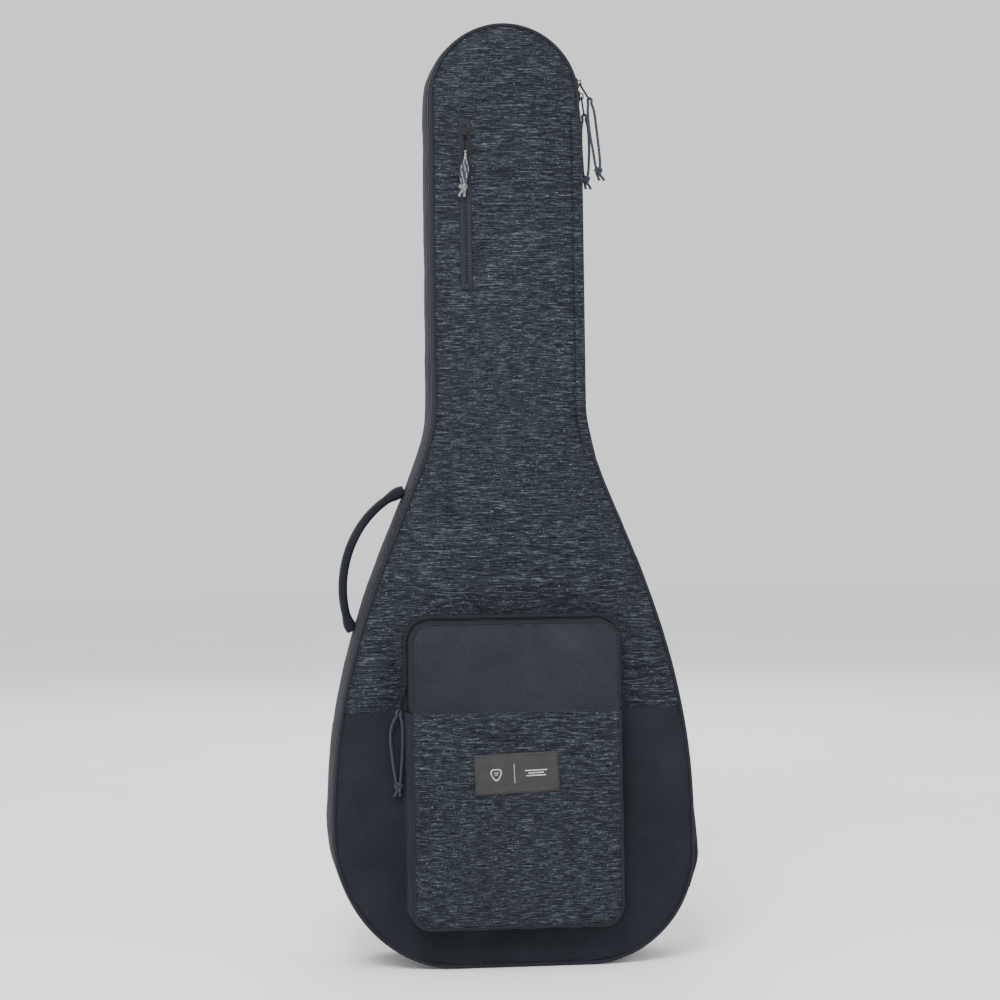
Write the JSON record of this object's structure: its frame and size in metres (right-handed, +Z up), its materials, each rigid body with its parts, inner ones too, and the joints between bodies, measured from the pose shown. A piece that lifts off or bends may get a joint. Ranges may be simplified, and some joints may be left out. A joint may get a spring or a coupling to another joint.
{
  "type": "padded gig bag",
  "caption": "Padded guitar gig bag with a zipped lid, zipped front pocket, small upper pocket, side carry handle and two padded back straps.",
  "frame": {"origin": "centre of the flat base that the bag stands on", "axes": "+Z up along the bag, -Y out of the lid, +X to the right seen from the front"},
  "size_m": [0.432, 0.2028, 1.12],
  "materials": {
    "woven_fabric": "woven blue-grey polyester with light slubs, matt",
    "plain_fabric": "plain dark nylon, matt",
    "binding": "slate grosgrain binding and piping",
    "zip_tape": "black knitted zip tape with nylon coil",
    "foam": "closed-cell foam padding",
    "lining": "soft brushed grey lining",
    "webbing": "black nylon webbing",
    "cord": "slate grey cord",
    "braided_cord": "black and white braided cord",
    "label": "dark grey grained patch, stitched round",
    "plastic": "black moulded plastic",
    "metal": "dark gunmetal, semi-gloss",
    "rubber": "black rubber"
  },
  "bodies": {
    "shell": {"back_foam": "foam", "back_lining": "lining", "back_panel": "plain_fabric", "back_piping": "binding", "end_bumper": "rubber", "gusset_cover_base": "plain_fabric", "gusset_cover_hinge_side": "plain_fabric", "gusset_cover_zip_side": "plain_fabric", "gusset_foam_base": "foam", "gusset_foam_head": "foam", "gusset_foam_left": "foam", "gusset_foam_right": "foam", "gusset_lining": "lining", "handle_anchor_lower": "webbing", "handle_anchor_upper": "webbing", "hinge_strip": "plain_fabric", "main_zip_tape_shell": "zip_tape", "neck_cradle": "foam", "neck_strap": "webbing", "strap_anchor_low_left": "webbing", "strap_anchor_low_right": "webbing", "strap_anchor_top": "webbing"},
    "lid": {"lid_foam": "foam", "lid_lining": "lining", "lid_lower_panel": "plain_fabric", "lid_piping": "binding", "lid_upper_panel": "woven_fabric", "main_zip_tape_lid": "zip_tape", "neck_pocket_pouch": "lining", "neck_zip_tape": "zip_tape", "pocket_base_band": "binding", "pocket_front": "woven_fabric", "pocket_label": "label", "pocket_wall": "plain_fabric", "pocket_zip_tape_base": "zip_tape"},
    "pocket_flap": {"pocket_flap": "plain_fabric", "pocket_flap_band": "binding", "pocket_zip_tape_flap": "zip_tape"},
    "handle": {"handle_grip": "plain_fabric"},
    "strap_left": {"strap_adjuster_left": "plastic", "strap_pad_left": "plain_fabric", "strap_webbing_left": "webbing"},
    "strap_right": {"strap_adjuster_right": "plastic", "strap_pad_right": "plain_fabric", "strap_webbing_right": "webbing"},
    "main_slider_1": {"main_slider_1": "metal"},
    "main_pull_1": {"main_pull_1": "metal", "main_pull_1_cord": "cord", "main_pull_1_knot": "cord"},
    "main_slider_2": {"main_slider_2": "metal"},
    "main_pull_2": {"main_pull_2": "metal", "main_pull_2_cord": "cord", "main_pull_2_knot": "cord"},
    "pocket_slider": {"pocket_slider": "metal"},
    "pocket_pull": {"pocket_pull": "metal", "pocket_pull_cord": "cord", "pocket_pull_knot": "cord"},
    "neck_slider": {"neck_slider": "metal"},
    "neck_pull": {"neck_pull": "metal", "neck_pull_braid": "braided_cord"}
  },
  "joints": [
    {"name": "lid_hinge", "type": "hinge", "parent": "shell", "child": "lid", "pos_m": [0.20714, -0.05685, 0.28471], "axis": [-0.1534, 0.0317, 0.9877], "range_deg": [0, 110]},
    {"name": "pocket_flap_hinge", "type": "hinge", "parent": "lid", "child": "pocket_flap", "pos_m": [0, -0.09225, 0.3033], "axis": [1, 0, 0], "range_deg": [0, 100]},
    {"name": "handle_swing", "type": "hinge", "parent": "shell", "child": "handle", "pos_m": [-0.119, 0.016, 0.566], "axis": [-0.3475, 0, -0.9377], "range_deg": [-25, 25]},
    {"name": "strap_left_swing", "type": "hinge", "parent": "shell", "child": "strap_left", "pos_m": [-0.045, 0.076, 0.668], "axis": [-0.2293, 0, -0.9733], "range_deg": [-12, 12]},
    {"name": "strap_right_swing", "type": "hinge", "parent": "shell", "child": "strap_right", "pos_m": [0.045, 0.076, 0.668], "axis": [0.2293, 0, -0.9733], "range_deg": [-12, 12]},
    {"name": "main_zip_1", "type": "hinge", "parent": "shell", "child": "main_slider_1", "pos_m": [0, -0.01889, 1.03], "axis": [0, -0.9995, 0.0321], "range_deg": [0, 150]},
    {"name": "main_zip_2", "type": "hinge", "parent": "shell", "child": "main_slider_2", "pos_m": [0, -0.01889, 1.03], "axis": [0, -0.9995, 0.0321], "range_deg": [0, 150]},
    {"name": "main_pull_1_swing", "type": "hinge", "parent": "main_slider_1", "child": "main_pull_1", "pos_m": [0.09212, -0.01824, 1.05065], "axis": [0, -1, 0], "range_deg": [0, 110]},
    {"name": "main_pull_2_swing", "type": "hinge", "parent": "main_slider_2", "child": "main_pull_2", "pos_m": [0.0943, -0.01874, 1.03434], "axis": [0, -1, 0], "range_deg": [0, 110]},
    {"name": "pocket_zip", "type": "slide", "parent": "lid", "child": "pocket_slider", "axis": [0, 0.0321, 0.9995], "range_m": [0, 0.048]},
    {"name": "pocket_pull_swing", "type": "hinge", "parent": "pocket_slider", "child": "pocket_pull", "pos_m": [-0.1334, -0.06598, 0.3274], "axis": [0, 0.9995, -0.0321], "range_deg": [0, 140]},
    {"name": "neck_zip", "type": "slide", "parent": "lid", "child": "neck_slider", "axis": [0, -0.0321, -0.9995], "range_m": [0, 0.176]},
    {"name": "neck_pull_swing", "type": "hinge", "parent": "neck_slider", "child": "neck_pull", "pos_m": [-0.0485, -0.04014, 0.9874], "axis": [-1, 0, 0], "range_deg": [0, 150]}
  ],
  "couplings": [
    {"joint": "main_zip_2", "follows": "main_zip_1", "ratio": 1},
    {"joint": "main_pull_2_swing", "follows": "main_pull_1_swing", "ratio": 1}
  ]
}
